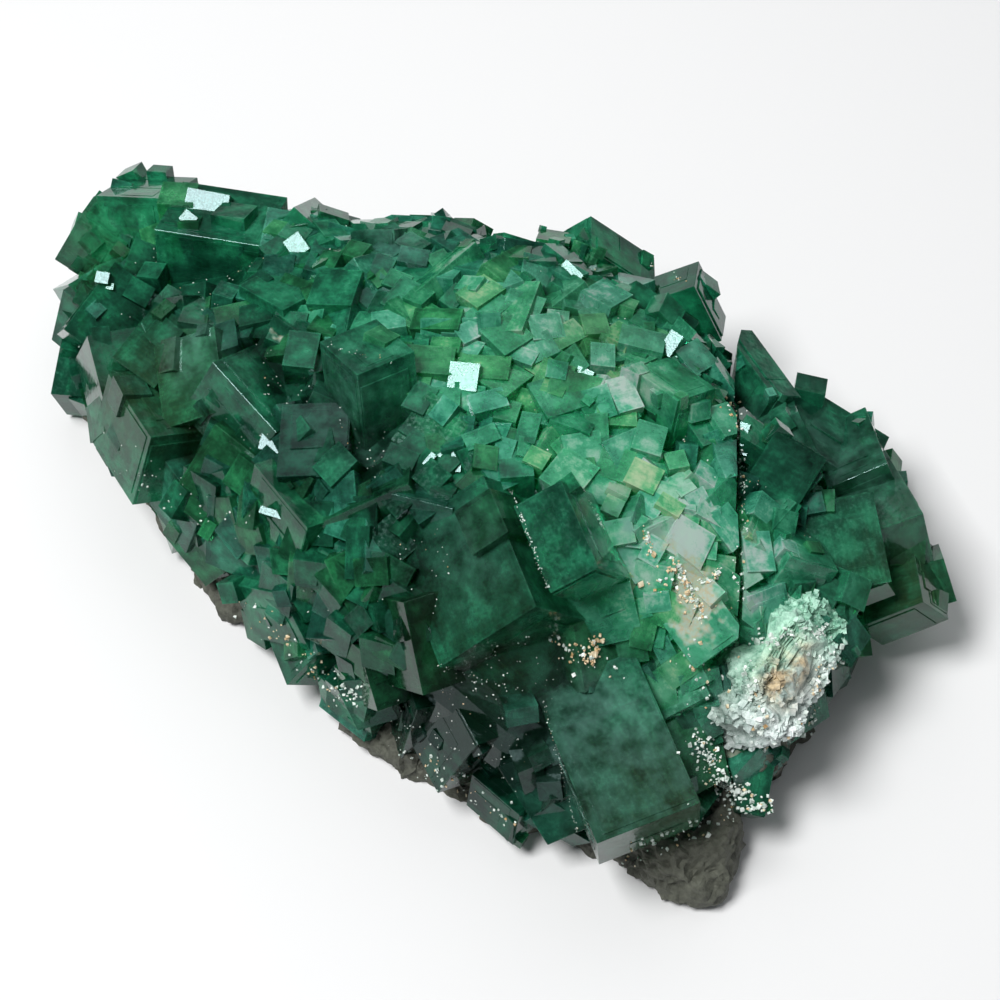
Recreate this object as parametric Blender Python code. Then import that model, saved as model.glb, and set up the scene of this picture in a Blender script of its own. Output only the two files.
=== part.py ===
"""Cluster of green fluorite cubes grown on a piece of brown-grey matrix.

Shapes are worked out in millimetres, then moved to stand over their middle and scaled to metres.
+X runs along the longest side, +Z is up, and the matrix is cut off flat at Z = 0.
"""

import math
import random

import bmesh
import bpy
from mathutils import Euler, Matrix, Vector, noise

# Driving dimensions, in millimetres unless a name says otherwise
MM = 0.001
GAP = 0.45
MIDDLE = (-1.3, 1.3, 0)
LEFT_END = -75.0
RIGHT_END = 70.0
LEFT_POWER = 4
RIGHT_POWER = 4
SECTION_POWER = 0.62
END_DROP = 1.2
NARROW = 12.0
LOW = 20.0

# The body in cross sections: x, near edge, far edge, crest height
SECTIONS = (
    (-75, -21, 5, 24),
    (-60, -30, 12, 29),
    (-40, -34, 24, 34),
    (-20, -38, 34, 38),
    (0, -41, 40, 42),
    (20, -43, 40, 43),
    (40, -43, 36, 42),
    (56, -39, 33, 38),
    (70, -33, 28, 32),
)

# A lower shelf at the near right carries the large square crystal
SHELF_START = (34, -8)
SHELF_RUN = 11
SHELF_DROP = 0.3

MANTLE_BASE = 5.0
MANTLE_INSET = 3.0
UNDERCUT = 3.0
FLOOR_CLEARANCE = 1.5
PLINTH_HEIGHT = 6.0
PLINTH_INSET = 1.0
CORE_INSET = 9.0
ROCK_ROUGHNESS = 1.3
LUMP_SIZE = 8.0
LUMP_SQUARENESS = 0.75
FLOOR_BLOCK = 300.0

# Rock that shows past the crystals: centre, size
ROCK_SPURS = (
    ((65, -27, 4.5), (19, 15, 10)),
    ((-14, -34.5, 3), (18, 12, 6)),
    ((17, -38, 3), (18, 12, 6)),
    ((63, -8, 8), (14, 26, 16)),
)

# The cleft between the main crust and the crystals at the right, seen from above
CLEFT_WIDTH = 1.2
CLEFT_MARGIN = 0.25
CLEFT_HEIGHTS = (-10, 80)
CLEFT = (
    (18, 56),
    (27, 37),
    (36, 24),
    (47, 9),
    (54, 1),
    (60, -8),
    (64, -15),
    (72, -21),
    (92, -29),
)
CLEFT_OUTER = ((92, 60),)

QUARTZ_CENTRE = (64, -3, 24)
QUARTZ_SIZE = (11, 22, 17)
QUARTZ_TURN = (0, 42, 8)
QUARTZ_ROUGHNESS = 1.2

# Large crystals of the main crust: centre, turn in degrees, size.
# First the central twin, then the square one at the near right, then the others from the left end.
CRUST_CRYSTALS = (
    ((26, -21, 33), (37, 4, -31), (22, 18, 20)),
    ((34, -14, 44), (30, 10, -29), (14, 8, 13)),
    ((54, -28, 21), (6, 5, -30), (25, 16, 12)),
    ((-7, -11, 39), (-10, -19, -15), (11, 10, 19)),
    ((-52, 2, 20), (-19, -3, 26), (18, 15, 22)),
    ((-37, -29, 21), (-26, -9, -20), (16, 15, 14)),
    ((-69, 2, 20), (-32, -15, 24), (13, 12, 11)),
    ((-74, -6, 18), (-20, 25, 15), (9, 10, 10)),
    ((16, 40, 27), (-26, -28, 42), (8, 8, 11)),
    ((29, 16, 40), (-23, -14, -10), (10, 8, 9)),
    ((-15, -29, 8), (-41, -37, -21), (22, 9, 11)),
    ((54, -7, 31), (25, 17, -14), (8, 9, 9)),
    ((42, -37.5, 7), (-14, -4, -5), (10, 9, 8)),
    ((24, -35, 12), (-11, 1, -33), (10, 11, 18)),
    ((33, -36, 14), (-23, 6, -23), (9, 11, 16)),
    ((3, -37, 10), (-39, 0, -29), (10, 11, 11)),
    ((-1, 41, 24), (1, -44, 38), (7, 7, 16)),
    ((-24, -20, 30), (-30, 12, -8), (15, 13, 12)),
    ((-59, -17, 19), (18, 30, 12), (13, 14, 12)),
)

# Large crystals right of the cleft: centre, turn in degrees, size
RIGHT_CRYSTALS = (
    ((42, 31, 24), (29, 45, -11), (11, 8, 11)),
    ((54, 37, 17), (24, -24, -46), (16, 10, 14)),
    ((69, 25, 15), (-1, -39, 43), (12, 13, 8)),
    ((32, 35, 26), (-31, -8, -26), (16, 6, 9)),
    ((60, 20, 24), (10, 20, -40), (14, 13, 11)),
    ((47, 21, 33), (35, 20, 15), (9, 10, 9)),
    ((61, 29, 16), (12, -22, -38), (17, 15, 18)),
    ((46, 35, 15), (-20, 14, 10), (16, 14, 16)),
    ((62, 12, 22), (28, 12, 20), (11, 11, 12)),
    ((57, 10, 28), (-25, 30, 40), (9, 9, 10)),
    ((67, -15, 9), (20, 10, 30), (10, 10, 10)),
)

# Smaller crystals are scattered by a rule: see size_at
SCATTER_SEED = 7
SCATTER_TRIES = 2600
SCATTER_SPACING = 0.66
SCATTER_STAND = 0.24
SCATTER_LEAN = (8, 50)
SCATTER_SPREAD = (0.8, 1.25)
SURFACE_STEP = (0.004, 0.012)
HUMP_CENTRE = (35, 7)
HUMP_RADII = (46, 29)
HUMP_CRYSTAL = 6.5
RIM_CRYSTAL = 11.5
COVER_STEPS = (0, 3, 6, 9, 12)
OPEN_SIDE = (0.3, -0.4, 0.87)
FULLEST_PATCH = 0.9


def eased(x, column):
    """Value of one column of SECTIONS at x, eased between its rows."""
    x = min(max(x, SECTIONS[0][0]), SECTIONS[-1][0])
    for low, high in zip(SECTIONS, SECTIONS[1:]):
        if x <= high[0]:
            t = (x - low[0]) / (high[0] - low[0])
            t = t * t * (3 - 2 * t)
            return low[column] + (high[column] - low[column]) * t
    return SECTIONS[-1][column]


def section(x):
    """Middle, half width and crest height of the body at x."""
    end, power = (LEFT_END, LEFT_POWER) if x < 0 else (RIGHT_END, RIGHT_POWER)
    closing = max(0.0, 1 - abs(x / end) ** power) ** (1 / power)
    near, far, crest = (eased(x, column) for column in (1, 2, 3))
    return (near + far) / 2, (far - near) / 2 * closing, crest * closing ** END_DROP


def body_point(along, angle, inset=0, base=0.0, top=None):
    """Point of the body's outside: along runs -1 to 1 in length, angle turns round the section."""
    end = RIGHT_END if along > 0 else -LEFT_END
    middle, half, crest = section(along * end)
    narrowing = min(1, half / NARROW)
    spread = max(half - inset * narrowing, 0)
    side = math.copysign(abs(math.cos(angle)) ** SECTION_POWER, math.cos(angle))
    height = crest - inset if top is None else top * min(1, crest / LOW)
    height = max(height - base, 0) if angle > 0 else -UNDERCUT * narrowing
    rise = height * abs(math.sin(angle)) ** SECTION_POWER
    x, y = along * (end - inset), middle + spread * side
    return Vector((x, y, base + rise * (1 - SHELF_DROP * on_shelf(x, y))))


def on_shelf(x, y):
    """1 on the lower shelf at the near right, 0 away from it."""
    right = min(max((x - SHELF_START[0]) / SHELF_RUN, 0), 1)
    near = min(max((SHELF_START[1] - y) / SHELF_RUN, 0), 1)
    return right * near


def wobble(place, amount):
    """Shift that makes a surface lumpy, the same for the same place."""
    probe = place / LUMP_SIZE
    shifts = [noise.noise(probe + Vector((step, 7 * step, 0))) for step in (0, 11, 23)]
    return Vector(shifts) * amount


def mound_mesh(inset, base, top=None, rings=20, spokes=36, rough=0.0):
    """Low mound of the body's outline, drawn in by inset, that bulges a little below base."""
    bm = bmesh.new()
    bmesh.ops.create_uvsphere(bm, u_segments=spokes, v_segments=rings, radius=1)
    for vert in bm.verts:
        place = body_point(vert.co.z, math.atan2(vert.co.y, vert.co.x), inset, base, top)
        vert.co = place + wobble(place, rough)
    return bm


def placed(centre, turn):
    """Matrix of a centre in millimetres and a turn in degrees."""
    angles = [math.radians(angle) for angle in turn]
    return Matrix.Translation(centre) @ Euler(angles).to_matrix().to_4x4()


def add_box(bm, centre, turn, size):
    """Add one box, as a crystal or a block, to a mesh."""
    bmesh.ops.create_cube(bm, size=1, matrix=placed(centre, turn) @ Matrix.Diagonal((*size, 1)))


def add_lump(bm, centre, turn, size, rough, level=2):
    """Add one rough rounded block to a mesh."""
    place = placed(centre, turn)
    made = bmesh.ops.create_icosphere(bm, subdivisions=level, radius=0.5)
    for vert in made["verts"]:
        swollen = [math.copysign(abs(2 * c) ** LUMP_SQUARENESS, c) / 2 for c in vert.co]
        vert.co = place @ Vector([c * s for c, s in zip(swollen, size)])
        vert.co += wobble(vert.co, rough)


def solid(name, bm):
    """Turn a working mesh into an object in the working collection."""
    mesh = bpy.data.meshes.new(name)
    bm.to_mesh(mesh)
    bm.free()
    made = bpy.data.objects.new(name, mesh)
    made.hide_render = True
    made.display_type = "WIRE"
    working.objects.link(made)
    return made


def apply_boolean(base, operation, **operand):
    """Apply one Boolean to base. Where many crystals cross, EXACT leaves edges open."""
    step = base.modifiers.new(operation.title(), "BOOLEAN")
    step.operation = operation
    step.solver = "MANIFOLD"
    for key, value in operand.items():
        setattr(step, key, value)
    graph = bpy.context.evaluated_depsgraph_get()
    base.data = bpy.data.meshes.new_from_object(base.evaluated_get(graph))
    base.modifiers.clear()


def combine(base, operation, other):
    """Join, cut or clip base with one other solid, which is used up."""
    apply_boolean(base, operation, object=other)
    bpy.data.objects.remove(other)
    return base


def fuse(base, others):
    """Join any number of solids, which may cross each other, to base."""
    group = new_collection("crystals to fuse")
    for other in others:
        working.objects.unlink(other)
        group.objects.link(other)
    apply_boolean(base, "UNION", operand_type="COLLECTION", collection=group)
    for other in others:
        bpy.data.objects.remove(other)
    bpy.data.collections.remove(group)
    return base


def within(point, crystal):
    """True if the point lies inside the crystal's box."""
    centre, turn, size = crystal
    local = placed(centre, turn).inverted() @ point
    return all(abs(c) < s / 2 for c, s in zip(local, size))


def covered(point, normal, crystals):
    """True if a large crystal lies at the point, or just under it, or just behind it."""
    open_side = Vector(OPEN_SIDE)
    spots = [point - normal * step for step in COVER_STEPS]
    spots += [point - open_side * step for step in COVER_STEPS]
    return any(within(spot, crystal) for spot in spots for crystal in crystals)


def right_of_cleft(x, y):
    """Distance to the right of the cleft's line, negative on the left."""
    best = None
    for (ax, ay), (bx, by) in zip(CLEFT, CLEFT[1:]):
        run = Vector((bx - ax, by - ay))
        offset = Vector((x - ax, y - ay))
        t = min(max(offset.dot(run) / run.length_squared, 0), 1)
        away = offset - run * t
        signed = math.copysign(away.length, run.x * offset.y - run.y * offset.x)
        if best is None or abs(signed) < abs(best):
            best = signed
    return best


def size_at(place):
    """Typical edge of the scattered crystals at a place on the body."""
    across = (place.x - HUMP_CENTRE[0]) / HUMP_RADII[0]
    along = (place.y - HUMP_CENTRE[1]) / HUMP_RADII[1]
    away = min(1.0, math.hypot(across, along)) ** 2
    return HUMP_CRYSTAL + (RIM_CRYSTAL - HUMP_CRYSTAL) * away


def surface_places(rng):
    """Random places on the body's outside, each with its normal, spread evenly by area."""
    places = []
    along_step, angle_step = SURFACE_STEP
    while len(places) < SCATTER_TRIES:
        along, angle = rng.uniform(-0.99, 0.99), rng.uniform(0.01, 0.99) * math.pi
        place = body_point(along, angle)
        lengthwise = body_point(along + along_step, angle) - place
        around = body_point(along, angle + angle_step) - place
        normal = around.cross(lengthwise)
        if rng.random() * FULLEST_PATCH < normal.length:
            places.append((place, normal.normalized()))
    return places


def grown_box(rng, place, normal, edge):
    """One scattered crystal standing out of the surface, tilted to show a corner."""
    frame = normal.to_track_quat("Z", "X").to_matrix()
    spin = Matrix.Rotation(rng.uniform(0, math.tau), 3, "Z")
    lean = Matrix.Rotation(math.radians(rng.uniform(*SCATTER_LEAN)), 3, "X")
    roll = Matrix.Rotation(math.radians(rng.uniform(0, 90)), 3, "Z")
    turn = frame @ spin @ lean @ roll
    size = [edge * rng.uniform(0.85, 1.2) for _ in range(3)]
    reach = sum(abs(turn.col[k].dot(normal)) * size[k] for k in range(3)) / 2
    centre = place + normal * (edge * SCATTER_STAND - reach)
    return tuple(centre), tuple(math.degrees(a) for a in turn.to_euler()), tuple(size)


def scattered_crystals():
    """Scattered crystals of the main crust and of the part right of the cleft."""
    rng = random.Random(SCATTER_SEED)
    large = CRUST_CRYSTALS + RIGHT_CRYSTALS
    taken, crust, right = [], [], []
    for place, normal in surface_places(rng):
        edge = size_at(place) * rng.uniform(*SCATTER_SPREAD)
        if any((place - p).length < SCATTER_SPACING * (edge + e) / 2 for p, e in taken):
            continue
        if covered(place, normal, large) or place.z < MANTLE_BASE + 1:
            continue
        taken.append((place, edge))
        side = right_of_cleft(place.x, place.y)
        crystal = grown_box(rng, place, normal, edge)
        if side < -CLEFT_MARGIN * edge:
            crust.append(crystal)
        elif side > CLEFT_MARGIN * edge:
            right.append(crystal)
    return crust, right


def box_solid(crystal):
    """One crystal as a solid of its own."""
    bm = bmesh.new()
    add_box(bm, *crystal)
    return solid("crystal", bm)


def rock(grow):
    """The matrix: a wide flat plinth, a core under the crystals and spurs that show."""
    core = solid("core", mound_mesh(CORE_INSET - grow, 0, rings=12, spokes=24, rough=ROCK_ROUGHNESS))
    plinth = mound_mesh(PLINTH_INSET - grow, 0, top=PLINTH_HEIGHT + grow, rings=16, spokes=24,
                        rough=ROCK_ROUGHNESS)
    combine(core, "UNION", solid("plinth", plinth))
    for centre, size in ROCK_SPURS:
        bm = bmesh.new()
        add_lump(bm, centre, (0, 0, 0), [s + 2 * grow for s in size], ROCK_ROUGHNESS)
        combine(core, "UNION", solid("spur", bm))
    return combine(core, "DIFFERENCE", below(0))


def below(level):
    """Everything lower than a level."""
    bm = bmesh.new()
    add_box(bm, (0, 0, level - FLOOR_BLOCK / 2), (0, 0, 0), (FLOOR_BLOCK,) * 3)
    return solid("below", bm)


def right_side(offset):
    """Everything right of the cleft, its wall moved right by offset."""
    bm = bmesh.new()
    low, high = CLEFT_HEIGHTS
    corners = [bm.verts.new((x + offset, y, low)) for x, y in CLEFT + CLEFT_OUTER]
    floor = bm.faces.new(corners)
    walls = bmesh.ops.extrude_face_region(bm, geom=[floor])["geom"]
    for vert in (g for g in walls if isinstance(g, bmesh.types.BMVert)):
        vert.co.z = high
    bmesh.ops.recalc_face_normals(bm, faces=bm.faces)
    return solid("right side", bm)


def quartz(grow):
    """The granular quartz patch, each size larger by twice grow."""
    bm = bmesh.new()
    add_lump(bm, QUARTZ_CENTRE, QUARTZ_TURN, [s + 2 * grow for s in QUARTZ_SIZE], QUARTZ_ROUGHNESS)
    return solid("quartz", bm)


def crust_solid(crystals, side_step):
    """Mantle and crystals fused, and cut to one side of the cleft and to the rock."""
    body = solid("mantle", mound_mesh(MANTLE_INSET, MANTLE_BASE))
    fuse(body, [box_solid(crystal) for crystal in crystals])
    combine(body, *side_step)
    combine(body, "DIFFERENCE", rock(GAP))
    combine(body, "DIFFERENCE", below(FLOOR_CLEARANCE))
    return combine(body, "DIFFERENCE", quartz(GAP))


def keep_largest(bm):
    """Drop the loose chips that a cut leaves."""
    left, pieces = set(bm.faces), []
    while left:
        queue = [left.pop()]
        piece = set(queue)
        while queue:
            for edge in queue.pop().edges:
                fresh = [f for f in edge.link_faces if f in left]
                left.difference_update(fresh)
                piece.update(fresh)
                queue.extend(fresh)
        pieces.append(piece)
    pieces.sort(key=len)
    loose = [face for piece in pieces[:-1] for face in piece]
    bmesh.ops.delete(bm, geom=loose, context="FACES")


def material(name, colour, roughness, transmission=0.0, ior=1.5):
    """Principled material of one colour."""
    made = bpy.data.materials.new(name)
    made.use_nodes = True
    made.diffuse_color = (*colour, 1)
    shader = made.node_tree.nodes["Principled BSDF"]
    shader.inputs["Base Color"].default_value = (*colour, 1)
    shader.inputs["Roughness"].default_value = roughness
    shader.inputs["Metallic"].default_value = 0.0
    shader.inputs["IOR"].default_value = ior
    shader.inputs["Transmission Weight"].default_value = transmission
    return made


def finish(raw, name, look):
    """Drop a working solid's chips, scale it to metres and give it its name and material."""
    bm = bmesh.new()
    bm.from_mesh(raw.data)
    keep_largest(bm)
    bmesh.ops.triangulate(bm, faces=bm.faces)
    bmesh.ops.translate(bm, vec=-Vector(MIDDLE), verts=bm.verts)
    bmesh.ops.scale(bm, vec=(MM, MM, MM), verts=bm.verts)
    mesh = bpy.data.meshes.new(name)
    bm.to_mesh(mesh)
    bm.free()
    bpy.data.objects.remove(raw)
    made = bpy.data.objects.new(name, mesh)
    mesh.materials.append(look)
    cluster.objects.link(made)
    print(name, len(mesh.polygons), "triangles")


def new_collection(name):
    """Empty collection in the scene."""
    made = bpy.data.collections.new(name)
    bpy.context.scene.collection.children.link(made)
    return made


for thing in list(bpy.data.objects):
    bpy.data.objects.remove(thing)
cluster = new_collection("fluorite_cluster")
working = new_collection("working_solids")

green = material("green_fluorite", (0.03, 0.16, 0.08), 0.08, transmission=0.9, ior=1.434)
brown = material("matrix_rock", (0.13, 0.11, 0.09), 0.85)
white = material("quartz_druse", (0.55, 0.54, 0.48), 0.55)

crust_scatter, right_scatter = scattered_crystals()
crust = crust_solid(list(CRUST_CRYSTALS) + crust_scatter, ("DIFFERENCE", right_side(0)))
right = crust_solid(list(RIGHT_CRYSTALS) + right_scatter, ("INTERSECT", right_side(CLEFT_WIDTH)))
druse = combine(quartz(0), "DIFFERENCE", rock(GAP))

finish(crust, "fluorite_crust", green)
finish(right, "fluorite_right_group", green)
finish(druse, "quartz_patch", white)
finish(rock(0), "matrix_rock", brown)
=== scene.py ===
"""Looks of the green fluorite cluster: crystals, matrix, quartz patch, studio floor, lights and camera.

Shapes are worked out in millimetres in the same working frame as the solids, then moved to stand
over their middle and scaled to metres.
"""
import math
import random
from itertools import product

import bmesh
import bpy
import numpy as np
from mathutils import Euler, Matrix, Vector, noise
from mathutils.bvhtree import BVHTree


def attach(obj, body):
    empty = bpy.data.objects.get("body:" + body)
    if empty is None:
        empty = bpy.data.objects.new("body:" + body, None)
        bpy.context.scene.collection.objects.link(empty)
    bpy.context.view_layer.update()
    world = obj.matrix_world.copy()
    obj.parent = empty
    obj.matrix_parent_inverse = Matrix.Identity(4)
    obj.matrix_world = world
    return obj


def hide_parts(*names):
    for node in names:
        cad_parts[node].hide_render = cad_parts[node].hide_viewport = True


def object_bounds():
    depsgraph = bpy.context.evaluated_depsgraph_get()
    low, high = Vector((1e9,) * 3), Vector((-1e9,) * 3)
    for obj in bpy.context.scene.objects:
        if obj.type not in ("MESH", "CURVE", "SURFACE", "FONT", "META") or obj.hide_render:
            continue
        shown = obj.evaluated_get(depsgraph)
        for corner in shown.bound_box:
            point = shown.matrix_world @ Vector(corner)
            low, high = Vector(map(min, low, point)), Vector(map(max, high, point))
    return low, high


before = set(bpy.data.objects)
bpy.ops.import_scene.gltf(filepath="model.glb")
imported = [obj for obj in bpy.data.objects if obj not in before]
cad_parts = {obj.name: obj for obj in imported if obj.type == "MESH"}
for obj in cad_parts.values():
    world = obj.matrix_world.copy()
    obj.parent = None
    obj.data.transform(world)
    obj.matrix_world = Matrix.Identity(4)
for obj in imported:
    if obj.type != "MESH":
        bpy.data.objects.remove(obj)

cad_box = [list(corner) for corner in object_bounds()]

MM = 0.001
MIDDLE = (-1.3, 1.3, 0)

# The body, as in the solids
LEFT_END = -75.0
RIGHT_END = 70.0
END_POWER = 4
SECTION_POWER = 0.62
END_DROP = 1.2
NARROW = 12.0
LOW = 20.0
SECTIONS = (
    (-75, -21, 5, 24), (-60, -30, 12, 29), (-40, -34, 24, 34), (-20, -38, 34, 38), (0, -41, 40, 42),
    (20, -43, 40, 43), (40, -43, 36, 42), (56, -39, 33, 38), (70, -33, 28, 32),
)
SHELF_START = (34, -8)
SHELF_RUN = 11
SHELF_DROP = 0.3
MANTLE_BASE = 5.0
MANTLE_INSET = 3.0
UNDERCUT = 3.0
FLOOR_CLEARANCE = 1.5
PLINTH_HEIGHT = 6.0
PLINTH_INSET = 1.0
FLOOR_BLOCK = 300.0

# Rounded blocks of rock that show: centre, size
ROCK_SPURS = (
    ((65, -27, 4.5), (19, 15, 10)), ((-14, -34.5, 3), (18, 12, 6)),
    ((17, -38, 3), (18, 12, 6)), ((63, -8, 8), (14, 26, 16)),
)
LUMP_SQUARENESS = 0.75
SPUR_LEVEL = 3
ROCK_VOXEL = 0.7
ROCK_LAYERS = (("VORONOI_F1", 7, 2.2), ("VORONOI_F2F1", 2.2, -0.8), ("PERLIN_ORIGINAL", 1.1, 0.5))

CLEFT_WIDTH = 0.7
CLEFT_MARGIN = 0.25
CLEFT_HEIGHTS = (-10, 80)
CLEFT = (
    (18, 56), (27, 37), (36, 24), (47, 9), (54, 1), (60, -8), (64, -15), (72, -21), (92, -29),
)
CLEFT_OUTER = ((92, 60),)

QUARTZ_CENTRE = (64, -3, 24)
QUARTZ_SIZE = (11, 22, 17)
QUARTZ_TURN = (0, 42, 8)
QUARTZ_LAYERS = (("PERLIN_ORIGINAL", 4.5, 2.4), ("VORONOI_F2F1", 2.4, -1.1))
QUARTZ_FLAT = 5.2
QUARTZ_SQUARENESS = 0.5
QUARTZ_LEVEL = 5
QUARTZ_GRAINS = 900
QUARTZ_GRAIN = (0.5, 1.5)
QUARTZ_SEED = 3

# Large crystals of the main crust: centre, turn in degrees, size
CRUST_CRYSTALS = (
    ((26, -21, 33), (37, 4, -31), (22, 18, 20)), ((34, -14, 44), (30, 10, -29), (14, 8, 13)),
    ((54, -28, 21), (6, 5, -30), (25, 16, 12)), ((-7, -11, 39), (-10, -19, -15), (11, 10, 19)),
    ((-52, 2, 20), (-19, -3, 26), (18, 15, 22)), ((-37, -29, 21), (-26, -9, -20), (16, 15, 14)),
    ((-69, 2, 20), (-32, -15, 24), (13, 12, 11)), ((-74, -6, 18), (-20, 25, 15), (9, 10, 10)),
    ((16, 40, 27), (-26, -28, 42), (8, 8, 11)), ((29, 16, 40), (-23, -14, -10), (10, 8, 9)),
    ((-15, -29, 8), (-41, -37, -21), (22, 9, 11)), ((54, -7, 31), (25, 17, -14), (8, 9, 9)),
    ((42, -37.5, 7), (-14, -4, -5), (10, 9, 8)), ((24, -35, 12), (-11, 1, -33), (10, 11, 18)),
    ((33, -36, 14), (-23, 6, -23), (9, 11, 16)), ((3, -37, 10), (-39, 0, -29), (10, 11, 11)),
    ((-1, 41, 24), (1, -44, 38), (7, 7, 16)), ((-24, -20, 30), (-30, 12, -8), (15, 13, 12)),
    ((-59, -17, 19), (18, 30, 12), (13, 14, 12)),
)

# Large crystals right of the cleft: centre, turn in degrees, size
RIGHT_CRYSTALS = (
    ((42, 31, 24), (29, 45, -11), (11, 8, 11)), ((54, 37, 17), (24, -24, -46), (16, 10, 14)),
    ((69, 25, 15), (-1, -39, 43), (12, 13, 8)), ((32, 35, 26), (-31, -8, -26), (16, 6, 9)),
    ((60, 20, 24), (10, 20, -40), (14, 13, 11)), ((47, 21, 33), (35, 20, 15), (9, 10, 9)),
    ((61, 29, 16), (12, -22, -38), (17, 15, 18)), ((46, 35, 15), (-20, 14, 10), (16, 14, 16)),
    ((62, 12, 22), (28, 12, 20), (11, 11, 12)), ((57, 10, 28), (-25, 30, 40), (9, 9, 10)),
    ((67, -15, 9), (20, 10, 30), (10, 10, 10)),
)

LARGE_CRYSTALS = CRUST_CRYSTALS + RIGHT_CRYSTALS

# Smaller crystals are scattered over the body by a rule: angles in degrees, standing, spacing and
# spread as shares of a crystal's edge
SCATTER_SEED = 7
SCATTER_TRIES = 2600
SCATTER_SPACING = 0.66
SCATTER_STAND = (0.24, 0.24)
SCATTER_LEAN = (8, 50)
SCATTER_SPREAD = (0.8, 1.25)
SCATTER_STRETCH = (0.85, 1.2)
LOWEST_CRYSTAL = 6.0
BODY_LENGTH = (-0.99, 0.99)
BODY_ROUND = (0.01, 0.99)
SURFACE_STEP = (0.004, 0.012)
HUMP_CENTRE = (35, 7)
HUMP_RADII = (46, 29)
SCATTER_EDGES = (6.5, 11.5)  # at the hump's middle, at the rim
COVER_STEPS = (0, 3, 6, 9, 12)
OPEN_SIDE = (0.3, -0.4, 0.87)
FULLEST_PATCH = 0.9

# The finest crystals, which only the finished surface has
FINE_SEED = 11
FINE_TRIES = 30000
FINE_SPACING = 0.62
FINE_EDGES = (4.3, 4.6)
FINE_STAND = (0.14, 0.46)
FINE_LEAN = 17
FINE_GRAIN = 20
FINE_GRAIN_SPREAD = 17
FINE_STRETCH = (0.7, 1.4)
HUMP_KEEP = 0.3
HUMP_EDGE = 0.8
BEVEL = 0.06
BEVEL_FROM = 6.0
TONE_SEED = 5
PLAIN_TONE = 0.5
FACE_SLACK = 0.06
BOX_MARGIN = 0.15

# Growth steps and small crystals on the faces of larger ones
GROWTH_SEED = 17
STEP_SHARE = (0.35, 0.9)
STEP_RISE = (0.06, 0.25)
STEP_DEPTH = 1.5
STEP_SHIFT = 0.95
CHILD_SHARE = (0.16, 0.42)
CHILD_SUNK = (0.1, 0.42)
CHILD_TWIST = 11
CHILD_STRETCH = (0.8, 1.3)

# The first large crystals are the cleanest. Each growth: growth steps, small crystals
CLEAN_CRYSTALS = 4
CLEAN_GROWTH = (7, 1)
LARGE_GROWTH = (10, 9)
MEDIUM_GROWTH = (3, 4)

GRID_CELL = 12.0
NEIGHBOURS = list(product((-1, 0, 1), repeat=3))
CORNERS = list(product((-1, 1), repeat=3))

# Round spots of the cluster: lighter or darker first, partly the crystals' own tone and partly painted
# light and shade, then painted blue-grey reflection, painted olive reflection, cream crust and the
# quartz's stain, its painted green light and its grey, partly painted shade: pixel of the photo, radius
# in millimetres, strength
SPOTS = {"glow": (
    (700, 590, 8, 1.15), (690, 560, 4, 0.3), (650, 520, 14, 0.32), (560, 350, 17, 0.4),
    (620, 440, 20, 0.4), (450, 290, 16, 0.35), (480, 400, 9, 0.2), (700, 690, 9, 0.45),
    (800, 570, 11, 0.45), (240, 560, 6, 0.6), (110, 225, 9, 0.32), (150, 190, 6, 0.12),
    (210, 290, 10, 0.22), (160, 495, 3, 0.6), (380, 640, 9, 0.05), (325, 250, 10, 0.3),
    (549, 324, 1.6, 0.45), (616, 487, 1.6, 0.5), (650, 380, 4, 0.35), (640, 280, 7, 0.3),
    (140, 390, 8, 0.15), (470, 760, 9, 0.05), (860, 480, 12, 0.05), (300, 640, 8, 0.1),
    (250, 300, 7, -0.15), (410, 470, 6, -0.4), (430, 640, 6, -0.1), (455, 570, 5, -0.4),
    (455, 662, 3, 0.55), (485, 652, 4, 0.3), (575, 530, 5.5, -0.75), (500, 720, 12, -0.5),
    (640, 815, 5, -0.3), (340, 440, 7, -0.2), (790, 440, 6, -0.5), (870, 490, 8, -0.35),
    (735, 690, 4, -0.5), (640, 355, 3, 0.2), (190, 330, 6, -0.1), (440, 250, 5, -0.15),
    (640, 290, 5, -0.2),
), "haze": (
    (630, 740, 8, 0.8), (350, 400, 7, 0.25), (470, 540, 5, 0.25), (198, 350, 4, 0.5),
    (394, 237, 3, 0.6), (617, 528, 3.5, 1.2), (810, 440, 6, 0.5), (880, 500, 6, 0.2),
    (780, 660, 8, 0.7),
), "olive": (
    (570, 345, 8, 0.6), (125, 400, 9, 0.5), (910, 590, 9, 0.6), (670, 825, 8, 0.7),
    (500, 640, 9, 0.25), (235, 590, 7, 0.4), (85, 250, 6, 0.5), (660, 380, 4, 0.35),
), "cream": (
    (684, 572, 1.8, 0.55), (694, 590, 2.0, 0.55), (703, 608, 2.2, 0.55), (712, 580, 1.5, 0.45),
    (655, 552, 1.6, 0.5), (725, 588, 2, 0.4), (678, 632, 2, 0.4), (705, 640, 1.5, 0.4),
    (668, 540, 1.5, 0.4), (276, 337, 1.2, 0.6),
), "stain": (
    (795, 672, 3, 1.0), (780, 688, 2, 0.9), (812, 657, 1.8, 0.8),
), "quartz_green": (
    (790, 612, 5, 1.0), (750, 640, 5, 0.9), (745, 670, 4, 0.7), (835, 620, 4, 0.9),
    (725, 700, 4, 0.6),
), "quartz_grey": (
    (760, 738, 5, 0.6), (815, 690, 3, 0.4), (728, 700, 4, 0.7), (722, 725, 4, 0.5),
)}
SPOT_LIMIT = 1.2
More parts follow.
